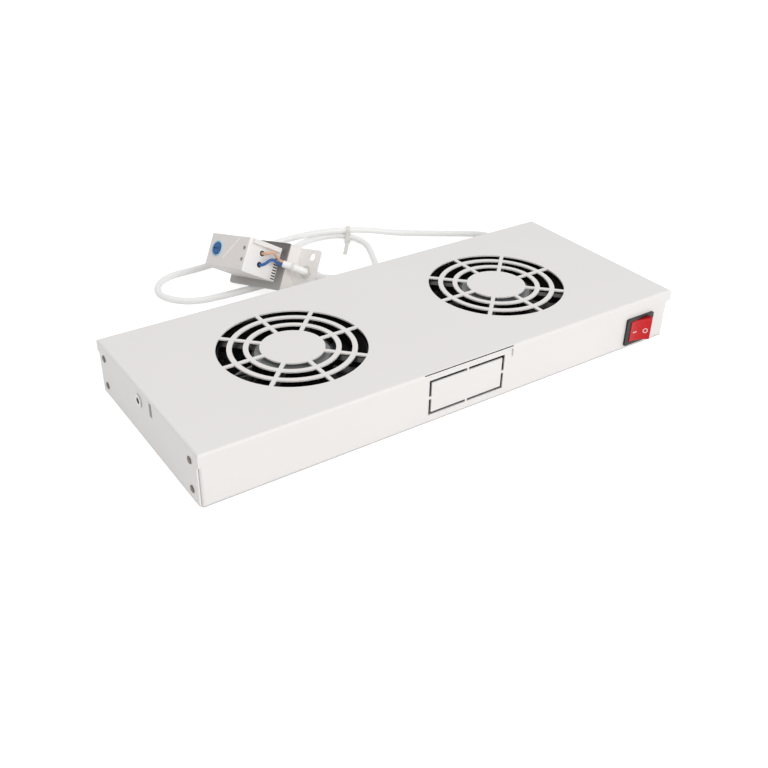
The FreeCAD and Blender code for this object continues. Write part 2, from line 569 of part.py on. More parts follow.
pins = copies("pins", pin, [(plain, "-pin_pitch / 2", f"{pin_root} + pin_long / 2", "-pin_drop - pin_high / 2"),
                            (plain, "pin_pitch / 2", f"{pin_root} + pin_long / 2", "-pin_drop - pin_high / 2"),
                            (plain, 0, f"{pin_root} + pin_long / 2", "pin_drop - pin_high / 2")])
tails = copies("tails", tab, [(plain, "-pin_pitch / 2", f"{inlet_back} - tab_long / 2", "-tab_width / 2 - pin_drop"),
                              (plain, "pin_pitch / 2", f"{inlet_back} - tab_long / 2", "-tab_width / 2 - pin_drop"),
                              (plain, 0, f"{inlet_back} - tab_long / 2", "-tab_width / 2 + pin_drop")])
inlet_pins = doc.addObject("Part::Compound", "inlet_pins")
inlet_pins.Links = [pins, tails]
node("inlet_pins", inlet_pins, "inlet_x", 0, "inlet_z")

# ---------------------------------------------------------------- cable gland in the back wall

gland_out = f"{wall_y}"
bore = "cord_radius + seal_wall"
gland_hex = hexagon("gland_hex", "gland_flats", "gland_collar", bore)
gland_sleeve = turned("gland_sleeve", [(bore, "-gland_inside"), ("gland_radius", "-gland_inside"), ("gland_radius", 0),
                                       (bore, 0)])
gland_cap = turned("gland_cap", [(bore, "gland_collar"), ("gland_flats / 2 - 0.5", "gland_collar"),
                                 ("gland_flats / 2 - 0.5", "gland_collar + gland_dome * 0.6"),
                                 ("cord_radius + 2 * seal_wall", "gland_collar + gland_dome"),
                                 ("cord_radius", "gland_collar + gland_dome"),
                                 ("cord_radius", "gland_collar + gland_dome - 1"),
                                 (bore, "gland_collar + gland_dome - 1")])
gland_body = copies("gland_body", fuse("gland_solid", gland_hex, gland_sleeve, gland_cap), [(face_back, 0, 0, 0)])
node("gland_body", gland_body, "gland_x", gland_out, "gland_z")
gland_ring = hexagon("gland_ring", "gland_flats", "gland_nut", "gland_radius")
gland_nut = copies("gland_nut", gland_ring, [(face_front, 0, 0, 0)])
node("gland_nut", gland_nut, "gland_x", f"{gland_out} - sheet_thick", "gland_z")
seal = turned("seal", [("cord_radius", 0), (bore, 0), (bore, "seal_long"), ("cord_radius", "seal_long")])
gland_seal = copies("gland_seal", seal, [(face_back, 0, 0, 0)])
node("gland_seal", gland_seal, "gland_x", f"{gland_out} + gland_collar + gland_dome - 1 - seal_long", "gland_z")

# ---------------------------------------------------------------- terminal block, earth stud, wiring

block_body = block("block_body", "block_length", "block_width", "block_height", "block_round")
block_ways = [rod(f"block_way_{i}", "wire_radius + 0.5", "block_width + 2", f"{i} * block_length / 3",
                  "-block_width / 2 - 1", "block_height / 3", "Y") for i in (-1, 1)]
terminal_block = cut("terminal_block", block_body, *block_ways, disc("block_bore", "screw_radius + 0.2", "block_height"),
                     disc("block_sink", "screw_head + 0.3", "block_height", 0, 0, "block_height - block_flange"))
node("terminal_block", terminal_block, 0, "block_y", "sheet_thick")
block_screw = turned("block_screw", [(0, 0), ("screw_radius", 0), ("screw_radius", "block_height - block_flange"),
                                     ("screw_head", "block_height - block_flange"),
                                     ("screw_head", "block_height - block_flange + screw_head_high"),
                                     (0, "block_height - block_flange + screw_head_high")])
node("terminal_block_screw", block_screw, 0, "block_y", "sheet_thick")
stud = disc("stud", "stud_radius", "stud_high")
stud_nut = hexagon("stud_nut", "nut_flats", "nut_high", "stud_radius")
stud_nut_up = copies("stud_nut_up", stud_nut, [(plain, 0, 0, "lug_thick")])
lug = cut("lug", disc("lug_disc", "lug_radius", "lug_thick"), disc("lug_hole", "stud_radius", "lug_thick"))
earth_stud = doc.addObject("Part::Compound", "earth_stud")
earth_stud.Links = [stud, stud_nut_up, lug]
node("earth_stud", earth_stud, "stud_x", "stud_y", "sheet_thick")


def route(points, radius):
    """A round tube along straight runs joined by tangent arcs; returns it with its length and bend radii."""
    spots = [Vector(*p) for p in points]
    edges, radii, start = [], [], spots[0]
    for before, corner, after in zip(spots, spots[1:], spots[2:]):
        back, ahead = (before - corner), (after - corner)
        half_turn = (math.pi - back.getAngle(ahead)) / 2
        bend = 0.45 * min(back.Length, ahead.Length) / math.tan(half_turn)
        radii.append(bend)
        reach = bend * math.tan(half_turn)
        enter = corner + back.normalize() * reach
        leave = corner + ahead.normalize() * reach
        inward = (back + ahead).normalize()
        middle = corner + inward * (bend / math.cos(half_turn) - bend)
        edges.append(Part.LineSegment(start, enter).toShape())
        edges.append(Part.Arc(enter, middle, leave).toShape())
        start = leave
    edges.append(Part.LineSegment(start, spots[-1]).toShape())
    path = Part.Wire(edges)
    section = Part.Wire([Part.makeCircle(radius, spots[0], spots[1] - spots[0])])
    tube = path.makePipeShell([section], True, False)
    return tube, path.Length, radii


def tubes(label, routes, radius, carrier=None):
    """A node of one or more tubes; prints each one's length, tightest bend and volume check."""
    solids = []
    for points in routes:
        tube, length, radii = route(points, radius)
        share = tube.Volume / (math.pi * radius ** 2 * length)
        print(f"{label}: {length:.0f} mm long, tightest bend {min(radii):.1f} mm, volume ratio {share:.4f}")
        solids.append(tube)
    thing = doc.addObject("Part::Feature", label + "_tubes")
    thing.Shape = Part.makeCompound(solids) if len(solids) > 1 else solids[0]
    return thing


floor = value("sheet_thick")
wire = value("wire_radius")
lead = value("fan_lead") / 2
back_face = value("tray_depth") / 2 - value("sheet_thick") - value("fold_gap")
block_low = floor + value("block_height") / 3
block_step = value("block_length") / 3
block_front = value("block_y") - value("block_width") / 2
block_rear = value("block_y") + value("block_width") / 2
tab_tip = -back_face + value("switch_deep") + value("tab_long")
tail_tip = back_face - value("inlet_deep") - value("tab_long")
tab_x = value("tab_pitch_x") / 2
tab_z = value("tab_pitch_z") / 2
lane = -(value("fan_size") / 2 + 8)

duct_corner = (value("fan_bore") + value("duct_wall")) / math.sqrt(2)
for side, sign in (("left", -1), ("right", 1)):
    fan_x = sign * value("fan_offset")
    inner = -sign
    node(f"fan_{side}_lead", tubes(f"fan_{side}_lead", [[
        (fan_x + inner * duct_corner, duct_corner, 20), (fan_x + inner * (duct_corner + 6), duct_corner + 6, 20),
        (sign * 34, block_rear + 8, 14), (sign * block_step, block_rear + 8, block_low),
        (sign * block_step, block_rear - 4, block_low)]], min(lead, wire + 0.4)))


def switch_to_block(sign, z):
    """A wire from a switch terminal, along the front wall and between the fans to the terminal block."""
    x = value("switch_x") + sign * tab_x
    shift = sign * value("lane_gap")
    return [(x, tab_tip, value("switch_z") + tab_z), (x, tab_tip + 10, value("switch_z") + tab_z),
            (167 + 3 * sign, tab_tip + 4, 12), (158 + 3 * sign, lane - shift, z), (44, lane - shift, z),
            (-sign * block_step, lane + 34, z), (-sign * block_step, block_front - 12, block_low),
            (-sign * block_step, block_front + 4, block_low)]


def inlet_to_switch(sign):
    """A wire from an inlet terminal down the right end to the lower switch terminal."""
    x, end = value("inlet_x") + sign * value("pin_pitch") / 2, value("switch_x") + sign * tab_x
    z = value("inlet_z") - value("pin_drop")
    low = value("switch_z") - tab_z
    return [(x, tail_tip, z), (x, tail_tip - 14, z), (x + 3, tail_tip - 40, 8), (end, tab_tip + 30, 8),
            (end, tab_tip + 12, low), (end, tab_tip, low)]


node("live_wires", tubes("live_wires", [inlet_to_switch(-1), switch_to_block(-1, floor + wire + 3)], wire))
node("neutral_wires", tubes("neutral_wires", [inlet_to_switch(1), switch_to_block(1, floor + wire + 3)], wire))
lug_top = floor + value("lug_thick") / 2
earth_z = value("inlet_z") + value("pin_drop")
node("earth_wire", tubes("earth_wire", [[
    (value("inlet_x"), tail_tip, earth_z), (value("inlet_x"), tail_tip - 5.5, earth_z), (190, 52, 23),
    (value("stud_x"), 50, 10), (value("stud_x"), 42, floor + wire),
    (value("stud_x"), value("stud_y") + value("lug_radius"), floor + wire)]], wire))

gland_y = back_face + value("gland_collar") + value("gland_dome")
gx, gz = value("gland_x"), value("gland_z")
cord = value("cord_radius")
node("lead_inside", tubes("lead_inside", [[
    (gx, gland_y, gz), (gx, 72, gz), (gx - 2, 70, floor + cord + 1), (gx - 30, 72, floor + cord + 1),
    (gx - 75, 74, floor + cord + 1),
    (70, 76, floor + cord + 1), (30, 78, floor + cord + 1), (0, 78, floor + cord + 1),
    (0, block_rear, floor + cord + 1)]], cord))

# ---------------------------------------------------------------- thermostat, made in its own frame

lie = FreeCAD.Placement(Vector(value("lie_x"), value("lie_y"), value("lie_z")),
                        FreeCAD.Rotation(value("lie_yaw"), value("lie_pitch"), value("lie_roll")))


def stat_node(label, source):
    """A piece of the thermostat assembly, turned and moved to where it lies behind the tray."""
    holder = node(label, source)
    for axis in "xyz":
        holder.setExpression(f"Placement.Base.{axis}", linked(f"lie_{axis}"))
    holder.Placement = lie
    return holder


stat_depth = "stat_front + stat_base"
middle_z = "-stat_height / 2"
front_points = [(0, "-stat_height"), ("stat_length", "-stat_height"), ("stat_length", 0), (0, 0)]
front_block = padded("stat_front_block", "XZ_Plane", front_points, "stat_front")


def long_edge(b):
    """The long upper and lower edges of the housing, at its front."""
    return b.XLength > 10 and b.YLength < 0.01 and b.ZLength < 0.01 and b.YMin < -1


def short_edge(b):
    return b.ZLength > 10 and b.XLength < 0.01 and b.YLength < 0.01 and b.YMin < -1


rounded(front_block, "stat_round", lambda b: long_edge(b) or short_edge(b))
front_place = copies("stat_front_place", front_block, [(plain, 0, "stat_front", 0)])
dial_well = rod("dial_well", "dial_radius + dial_gap", "dial_sink", "dial_x", 0, "dial_z", "Y")
spindle_hole = rod("spindle_hole", "spindle_radius + running_gap", "dial_sink + 6", "dial_x", 0, "dial_z", "Y")
hole_spots = [f"{middle_z} + {i} * core_pitch / 2" for i in (-1, 1)]
screw_holes = [rod(f"stat_screw_hole_{i}", "screw_hole", "core_depth - 2", "screw_hole_x", 0, z, "Y")
               for i, z in enumerate(hole_spots)]
core_holes = [rod(f"core_hole_{i}", "core_hole", "core_hole_deep", "stat_length - core_hole_deep", "core_depth", z, "X")
              for i, z in enumerate(hole_spots)]
stat_housing = cut("stat_housing", front_place, dial_well, spindle_hole, *screw_holes, *core_holes)
stat_node("thermostat_housing", stat_housing)

base_block = box("stat_base_block", "stat_length", "stat_base", "stat_height", "stat_length / 2",
                 "stat_front + stat_base / 2", "-stat_height")
vents = [box(f"vent_{i}", "vent_deep * 2", "stat_base * 0.55", "vent_width", "stat_length",
             "stat_front + stat_base * 0.72", f"-stat_height + 1.6 + {i} * vent_pitch") for i in range(int(value("vent_count")))]
pilot_spots = [f"stat_length / 2 + {i} * stat_screw_pitch / 2" for i in (-1, 1)]
pilots = [rod(f"stat_pilot_{i}", "stat_screw", "stat_screw_long", x, f"{stat_depth} - stat_screw_long", middle_z, "Y")
          for i, x in enumerate(pilot_spots)]
stat_base = cut("stat_base", base_block, *vents, *pilots)
stat_node("thermostat_base", stat_base)


def dial_shape():
    """The knurled dial with its screwdriver slot, and the spindle behind it."""
    radius, high, sink = value("dial_radius"), value("dial_high"), value("dial_sink")
    face = -(high - sink)
    deep = face + high + 0.0
    dial = Part.makeCylinder(radius, high - 0.1, Vector(0, face, 0), Vector(0, 1, 0))
    dial = dial.makeChamfer(0.4, [e for e in dial.Edges if e.BoundBox.YMax < face + 0.01])
    count = int(value("dial_notches"))
    for i in range(count):
        angle = 2 * math.pi * i / count
        spot = Vector(radius * math.cos(angle), face - 0.1, radius * math.sin(angle))
        dial = dial.cut(Part.makeCylinder(value("dial_notch"), high + 0.2, spot, Vector(0, 1, 0)))
    slot = Part.makeBox(radius * 1.5, 0.9, 1.2, Vector(-radius * 0.75, face, -0.6))
    spindle = Part.makeCylinder(value("spindle_radius"), 5.5, Vector(0, deep - 0.2, 0), Vector(0, 1, 0))
    return dial.cut(slot).fuse(spindle)


dial = doc.addObject("Part::Feature", "dial")
dial.Shape = dial_shape()
stat_node("thermostat_dial", copies("dial_place", dial, [(plain, "dial_x", 0, "dial_z")]))
clamp_screw = turned("clamp_screw", [(0, 0), ("screw_hole - 0.2", 0), ("screw_hole - 0.2", 2), (1, 2), (1, 6), (0, 6)])
clamps = copies("clamps", clamp_screw, [(face_back, "screw_hole_x", "core_depth - 2 - 6", z) for z in hole_spots])
stat_node("thermostat_terminals", clamps)

# Z bracket: a plate behind the thermostat, a step to the rear and a foot with the fixing hole.
top, bottom = "bracket_above", "-stat_height - bracket_below"
plate_y = stat_depth
right_x = "stat_length + bracket_right"
foot_y = f"{plate_y} + bracket_step"
far_x = f"{right_x} + bracket_foot"
section = [("-bracket_left", plate_y), (right_x, plate_y), (right_x, foot_y), (far_x, foot_y),
           (far_x, f"{foot_y} + bracket_thick"), (f"{right_x} - bracket_thick", f"{foot_y} + bracket_thick"),
           (f"{right_x} - bracket_thick", f"{plate_y} + bracket_thick"), ("-bracket_left", f"{plate_y} + bracket_thick")]
strip = padded("bracket_strip", "XY_Plane", section, f"{top} - ({bottom})")


def bracket_corner(b):
    """The corners at the two free ends of the strip, across its thickness."""
    thin = abs(b.YLength - value("bracket_thick")) < 0.01 and b.XLength < 0.01 and b.ZLength < 0.01
    return thin


rounded(strip, "bracket_round", bracket_corner)
strip_place = copies("bracket_strip_place", strip, [(plain, 0, 0, bottom)])
foot_hole = rod("foot_hole_bar", "foot_hole", "bracket_thick + 2", f"{far_x} - foot_hole_in", f"{foot_y} - 1",
                f"{top} - foot_hole_down", "Y")
grommet_spot = f"{right_x} + grommet_in"
grommet_bar = rod("grommet_bar", "grommet_hole", "bracket_thick + 2", grommet_spot, f"{foot_y} - 1", middle_z, "Y")
fixing = [rod(f"fixing_bar_{i}", "stat_screw + 0.2", "bracket_thick + 2", x, f"{plate_y} - 1", middle_z, "Y")
          for i, x in enumerate(pilot_spots)]
bracket = cut("bracket", strip_place, foot_hole, grommet_bar, *fixing)
stat_node("z_bracket", bracket)
grommet = turned("grommet", [("cord_radius", 0), ("grommet_flange", 0), ("grommet_flange", "grommet_lip"),
                             ("grommet_hole", "grommet_lip"), ("grommet_hole", "grommet_lip + bracket_thick"),
                             ("grommet_flange", "grommet_lip + bracket_thick"),
                             ("grommet_flange", "2 * grommet_lip + bracket_thick"),
                             ("cord_radius", "2 * grommet_lip + bracket_thick")])
stat_node("bracket_grommet", copies("grommet_place", grommet,
                                    [(face_back, grommet_spot, f"{foot_y} - grommet_lip", middle_z)]))
stat_screw = turned("stat_screw_body", [(0, 0), ("stat_screw", 0), ("stat_screw", "stat_screw_long + bracket_thick"),
                                        ("stat_screw * 2", "stat_screw_long + bracket_thick"),
                                        ("stat_screw * 2", "stat_screw_long + bracket_thick + 1"),
                                        ("stat_screw * 1.3", "stat_screw_long + bracket_thick + 1.8"),
                                        (0, "stat_screw_long + bracket_thick + 1.8")])
stat_node("thermostat_screws", copies("stat_screws", stat_screw,
                                      [(face_back, x, f"{stat_depth} - stat_screw_long", middle_z) for x in pilot_spots]))

stat_mid = -value("stat_height") / 2
foot_front = value("stat_front") + value("stat_base") + value("bracket_step")
grommet_x = value("stat_length") + value("bracket_right") + value("grommet_in")
grommet_rear = foot_front + value("bracket_thick") + value("grommet_lip")
corner_x = value("stat_length") + value("bracket_right")
plate_front = value("stat_front") + value("stat_base")
sheath_bend = Vector(grommet_x, foot_front - 5.5, stat_mid)
sheath_end = Vector(corner_x + 1.6, plate_front - 3, stat_mid + 1.7)
stat_node("lead_sheath_end", tubes("lead_sheath_end", [[
    (grommet_x, grommet_rear, stat_mid), tuple(sheath_bend), tuple(sheath_end)]], cord))
core = value("core_radius")
hole_high = stat_mid + value("core_pitch") / 2
hole_low = stat_mid - value("core_pitch") / 2
face_x, core_y = value("stat_length"), value("core_depth")
run = (sheath_end - sheath_bend).normalize()
apart = (Vector(0, 0, 1) - run * run.z).normalize() * (core + 0.1)
for label, start, over, hole_z in (("brown_core", sheath_end + apart, (face_x + 8.5, core_y + 5, hole_high + 3.8), hole_high),
                                   ("blue_core", sheath_end - apart, (face_x + 9, core_y + 5, hole_low + 8), hole_low)):
    stat_node(label, tubes(label, [[
        tuple(start), tuple(start + run * 4), over, (face_x + 6, core_y, hole_z), (face_x - 3, core_y, hole_z)]], core))
band = turned("band", [("cord_radius", -1.3), ("cord_radius + 1", -1.3), ("cord_radius + 1", 1.3), ("cord_radius", 1.3)])
stat_node("sheath_band", copies("band_place", band, [
    (FreeCAD.Rotation(Vector(0, 0, 1), run), *(sheath_bend + run * 9))]))

# ---------------------------------------------------------------- cable from the gland to the bracket

lay = cord + 0.2
tail = [lie.multVec(Vector(grommet_x, grommet_rear + step, stat_mid)) for step in (26, 0)]
cord_points = [
    (gx, gland_y, gz), (gx, 126, gz), (208, 159, 7.5), (180, 189, lay), (145, 212, lay),
    (114, 223.5, 9.8), (84, 234.5, 11.8), (55, 243.5, 11), (20, 256.5, lay), (-24, 248.5, lay),
    (-66, 241.5, lay), (-107, 242, lay), (-127.5, 211, lay), (-107, 180.5, lay), (-70, 176.5, lay),
    (-32, 176.5, lay), (10, 176, lay), (43.5, 142.3, lay), (78.3, 148.1, lay), (93, 180, lay),
    (105, 209, lay), (94, 236, 4.9), (62, 246, lay), (34, 236, lay), (16, 212, 7), (11, 186, 11),
    (13, 160, 11.5), tuple(tail[0]), tuple(tail[1])]
lead_tube = tubes("thermostat_lead", [cord_points], cord)
node("thermostat_lead", lead_tube)


def racetrack(radius, half):
    """A closed band outline: two half circles, one over the other, joined by straight sides."""
    sides = [Part.LineSegment(Vector(x * radius, -x * half), Vector(x * radius, x * half)).toShape() for x in (1, -1)]
    ends = [Part.Arc(Vector(radius, y * half), Vector(0, y * (half + radius)), Vector(-radius, y * half)).toShape()
            for y in (1, -1)]
    return Part.Face(Part.Wire(Part.__sortEdges__(sides + ends)))


def tie_shape():
    """A nylon tie round two strands, its head beside the lower one and its cut tail along the floor."""
    half, wide, thick = value("strand_gap") / 2, value("tie_wide"), value("tie_thick")
    inner = cord + value("tie_gap")
    outer = inner + thick
    foot = -half - outer
    ring = racetrack(outer, half).cut(racetrack(inner, half)).extrude(Vector(0, 0, wide))
    head_wide = wide + 2 * thick
    head = Part.makeBox(value("head_long"), value("head_high"), head_wide, Vector(outer - thick / 2, foot, -thick))
    strap = Part.makeBox(value("tail_long"), thick, wide, Vector(outer + value("head_long") - thick, foot, 0))
    tie = ring.fuse([head, strap]).removeSplitter()
    tie.translate(Vector(0, 0, -wide / 2))
    return tie


tie = doc.addObject("Part::Feature", "tie")
tie.Shape = tie_shape()
tie_turn = FreeCAD.Rotation(Vector(-0.606, -0.795, 0), Vector(0, 0, 1), Vector(-0.795, 0.606, 0), "YZX")
node("cable_tie", copies("tie_place", tie, [(tie_turn, 96, 229.75, 7.75)]))

# ---------------------------------------------------------------- check and write

doc.recompute()
for thing in doc.Objects:
    if "Invalid" in thing.State or "Error" in thing.State:
        raise RuntimeError(f"{thing.Label} did not build: {thing.State}")
os.makedirs("parts", exist_ok=True)
for piece in nodes:
    shape = piece.Shape
    if shape.isNull() or not shape.isValid():
        raise RuntimeError(f"{piece.Label} is not a valid solid")
    shape.exportStep(f"parts/{piece.Label}.step")
print(len(nodes), "pieces written")
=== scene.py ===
# %% [markdown]
# # Rack fan tray
# A low tray of folded, powder-coated steel holds two mains fans under punched grilles. A rocker switch sits
# in its front wall, and a small thermostat on a Z-shaped bracket lies behind it at the end of a white cable.
# The solids come in first and stay as they are. This lesson adds the camera, the cable, the light, the
# finishes and the small details that the solids leave out. Lengths are in metres, and mm() reads millimetres.

# %% Load the solids
import math

import bpy
from mathutils import Euler, Matrix, Vector


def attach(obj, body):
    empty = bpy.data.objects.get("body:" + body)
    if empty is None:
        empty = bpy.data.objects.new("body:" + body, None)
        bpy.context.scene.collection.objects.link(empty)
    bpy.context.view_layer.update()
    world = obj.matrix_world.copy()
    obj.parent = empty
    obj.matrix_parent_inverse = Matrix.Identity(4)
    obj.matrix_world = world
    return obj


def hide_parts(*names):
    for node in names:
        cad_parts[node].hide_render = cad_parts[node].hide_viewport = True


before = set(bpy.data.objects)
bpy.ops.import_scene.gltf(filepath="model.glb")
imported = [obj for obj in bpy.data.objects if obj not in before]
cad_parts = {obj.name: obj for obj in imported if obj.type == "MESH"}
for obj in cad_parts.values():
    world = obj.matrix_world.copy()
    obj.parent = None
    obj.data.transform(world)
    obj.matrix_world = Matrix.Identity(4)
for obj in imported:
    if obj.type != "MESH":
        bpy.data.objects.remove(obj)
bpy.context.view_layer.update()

scene = bpy.context.scene


def mm(*values):
    """Millimetres to metres: one number, or a point."""
    return values[0] / 1000 if len(values) == 1 else Vector(values) / 1000


# %% [markdown]
# ## Camera
# The tray is seen from its front left corner and from above, with a short telephoto lens. The lens is given
# in millimetres for a 36 mm wide sensor. The camera has a place and three turns, like any other object, and
# no shift and no depth of field, so every part of the tray stays sharp.

# %% Camera
bpy.ops.object.select_all(action="DESELECT")
bpy.ops.object.camera_add(location=mm(-412.55, -566.13, 415.92))
camera = bpy.context.object
right = Vector((0.82531, -0.56431, 0.02025))
up = Vector((0.28643, 0.44927, 0.84624))
back = Vector((-0.48664, -0.69261, 0.53242))
camera.rotation_euler = Matrix((right, up, back)).transposed().to_euler()
camera.data.lens = 45.56
camera.data.sensor_width = 36
camera.data.clip_start = 0.01
scene.camera = camera
print("camera", camera.location, [round(math.degrees(a), 2) for a in camera.rotation_euler])

# %% [markdown]
# ## Thermostat cable
# The cable is a round, white PVC flex 6.3 mm thick. It leaves the gland at the back of the tray, lies along the
# floor in one long loop and one short one, and ends in the bracket's grommet. A cable has one length and bends
# smoothly, so it is a NURBS curve whose control points are the corners of its route. The curve's bevel gives it
# its thickness, in units of the one millimetre that each point has as its radius. The order is set after the
# points, because before them it would fall back to 2.

# %% Cable
CABLE_RADIUS = 3.15
REST = CABLE_RADIUS + 0.2  # the height of its middle where it lies on the floor
cable_route = [
    (200, 102.5, 20), (200, 126, 20), (208, 159, 7.5), (180, 189, REST), (145, 212, REST),
    (114, 223.5, 9.8), (84, 234.5, 11.8), (55, 243.5, 11), (20, 256.5, REST), (-24, 248.5, REST),
    (-66, 241.5, REST), (-107, 242, REST), (-127.5, 211, REST), (-107, 180.5, REST), (-70, 176.5, REST),
    (-32, 176.5, REST), (10, 176, REST), (43.5, 142.3, REST), (78.3, 148.1, REST), (93, 180, REST),
    (105, 209, REST), (94, 236, 4.9), (62, 246, REST), (34, 236, REST), (16, 212, 7), (11, 186, 11),
    (13, 160, 11.5), (10.73, 130.72, 16.24), (-11.19, 129.06, 30.13)]


def cable(name, route, radius):
    """A smooth cable of one open NURBS spline, from control points and a radius in millimetres."""
    curve = bpy.data.curves.new(name, "CURVE")
    curve.dimensions = "3D"
    curve.bevel_depth = radius
    curve.bevel_resolution = 6
    curve.use_fill_caps = True
    spline = curve.splines.new("NURBS")
    spline.points.add(len(route) - 1)
    for point, place in zip(spline.points, route):
        point.co = (*mm(*place), 1)
        point.radius = mm(1)
    spline.order_u = 3
    spline.use_endpoint_u = True
    spline.resolution_u = 12
    piece = bpy.data.objects.new(name, curve)
    scene.collection.objects.link(piece)
    return piece


lead = cable("thermostat_cable", cable_route, CABLE_RADIUS)
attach(lead, "tray")
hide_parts("thermostat_lead")
print("cable of", len(cable_route), "control points")

# %% [markdown]
# ## Floor, backdrop and light
# The tray stands on a plain pale floor in soft studio light. The floor is one large plane. To the camera and
# to reflections it adds a little glow of its own, except under the tray itself, so it comes out white and keeps
# the soft shadow under the tray. Seen from underneath it is clear, so the tray's underside can be looked at too.
# The world is an even grey-white for the light, and plain white for the camera and for what it sees mirrored.


# %% A node helper and a colour helper
def colour(text, alpha=1.0):
    """An sRGB hex colour as Blender's linear values."""
    channels = [int(text[i:i + 2], 16) / 255 for i in (0, 2, 4)]
    linear = [c / 12.92 if c <= 0.04045 else ((c + 0.055) / 1.055) ** 2.4 for c in channels]
    return (*linear, alpha)


def add(tree, kind, settings=None, links=None):
    """Add one node: settings go to its properties or its sockets, links join its sockets to others."""
    made = tree.nodes.new(kind)
    for name, setting in (settings or {}).items():
        if isinstance(name, str) and name in made.bl_rna.properties:
            setattr(made, name, setting)
        else:
            made.inputs[name].default_value = setting
    for name, source in (links or {}).items():
        tree.links.new(source, made.inputs[name])
    return made


def blank(name):
    """An empty material: its node tree and its output."""
    material = bpy.data.materials.new(name)
    material.use_nodes = True
    material.node_tree.nodes.clear()
    return material, material.node_tree


def seen_or_mirrored(tree):
    """A value that is 1 for the camera's rays and for mirrored and refracted ones, and 0 for light's own."""
    rays = add(tree, "ShaderNodeLightPath")
    either = add(tree, "ShaderNodeMath", {"operation": "MAXIMUM"},
                 {0: rays.outputs["Is Camera Ray"], 1: rays.outputs["Is Glossy Ray"]})
    return add(tree, "ShaderNodeMath", {"operation": "MAXIMUM"},
               {0: either.outputs[0], 1: rays.outputs["Is Transmission Ray"]}).outputs[0]


# %% Floor
TRAY_HALF_LONG, TRAY_HALF_DEEP = 221, 88  # under this much of the tray the floor doesn't glow
FLOOR_DROP = 0.3  # the floor lies this far below the tray, so that the two don't share a face
FLOOR_GLOW = 0.62

scene.view_settings.view_transform = "Standard"
scene.cycles.pixel_filter_width = 1.1
bpy.ops.object.select_all(action="DESELECT")
bpy.ops.mesh.primitive_plane_add(size=12, location=mm(0, 0, -FLOOR_DROP))
floor = bpy.context.object
floor.name = "floor"
floor_paint, tree = blank("matt_studio_floor")
spot = add(tree, "ShaderNodeTexCoord")
axes = add(tree, "ShaderNodeSeparateXYZ", {}, {"Vector": spot.outputs["Object"]})
side_x = add(tree, "ShaderNodeMath", {"operation": "ABSOLUTE"}, {0: axes.outputs["X"]})
side_y = add(tree, "ShaderNodeMath", {"operation": "ABSOLUTE"}, {0: axes.outputs["Y"]})
past_x = add(tree, "ShaderNodeMath", {"operation": "GREATER_THAN", 1: mm(TRAY_HALF_LONG)}, {0: side_x.outputs[0]})
past_y = add(tree, "ShaderNodeMath", {"operation": "GREATER_THAN", 1: mm(TRAY_HALF_DEEP)}, {0: side_y.outputs[0]})
beside = add(tree, "ShaderNodeMath", {"operation": "MAXIMUM"}, {0: past_x.outputs[0], 1: past_y.outputs[0]})
glow_on = add(tree, "ShaderNodeMath", {"operation": "MULTIPLY"}, {0: seen_or_mirrored(tree), 1: beside.outputs[0]})
glow_power = add(tree, "ShaderNodeMath", {"operation": "MULTIPLY", 1: FLOOR_GLOW}, {0: glow_on.outputs[0]})
glow = add(tree, "ShaderNodeEmission", {"Color": (1, 1, 1, 1)}, {"Strength": glow_power.outputs[0]})
paint = add(tree, "ShaderNodeBsdfDiffuse", {"Color": colour("E8E8E8")})
both_shares = add(tree, "ShaderNodeAddShader", {}, {0: paint.outputs[0], 1: glow.outputs[0]})
# Rays from underneath pass through, and so do those that start in the thin gap under the tray.
facing = add(tree, "ShaderNodeNewGeometry")
rays = add(tree, "ShaderNodeLightPath")
close = add(tree, "ShaderNodeMath", {"operation": "LESS_THAN", 1: mm(1)}, {0: rays.outputs["Ray Length"]})
open_up = add(tree, "ShaderNodeMath", {"operation": "MAXIMUM"},
              {0: facing.outputs["Backfacing"], 1: close.outputs[0]})
no_floor = add(tree, "ShaderNodeBsdfTransparent", {"Color": (1, 1, 1, 1)})
sheet = add(tree, "ShaderNodeMixShader", {},
            {0: open_up.outputs[0], 1: both_shares.outputs[0], 2: no_floor.outputs[0]})
add(tree, "ShaderNodeOutputMaterial", {}, {"Surface": sheet.outputs[0]})
floor.data.materials.append(floor_paint)

# %% World
AIR_STRENGTH = 0.565

world = bpy.data.worlds.new("studio_air")
scene.world = world
world.use_nodes = True
tree = world.node_tree
tree.nodes.clear()
air = add(tree, "ShaderNodeBackground", {"Color": (1, 1, 1, 1), "Strength": AIR_STRENGTH})
white = add(tree, "ShaderNodeBackground", {"Color": (1, 1, 1, 1), "Strength": 1.0})
pick = add(tree, "ShaderNodeMixShader", {}, {0: seen_or_mirrored(tree), 1: air.outputs[0], 2: white.outputs[0]})
add(tree, "ShaderNodeOutputWorld", {}, {"Surface": pick.outputs[0]})


# %% Lamps
def softbox(name, place, size, watts):
    """A square area lamp at a place, turned to face the middle of the tray."""
    bpy.ops.object.select_all(action="DESELECT")
    bpy.ops.object.light_add(type="AREA", location=mm(*place))
    lamp = bpy.context.object
    lamp.name = name
    lamp.data.size = mm(size)
    lamp.data.energy = watts
    lamp.rotation_euler = (mm(0, 0, 20) - lamp.location).to_track_quat("-Z", "Y").to_euler()


softbox("front_softbox", place=(150, -1500, 900), size=1200, watts=13.4)
softbox("top_softbox", place=(-300, 500, 1700), size=1500, watts=4.9)
softbox("left_softbox", place=(-1500, 0, 600), size=900, watts=0.5)

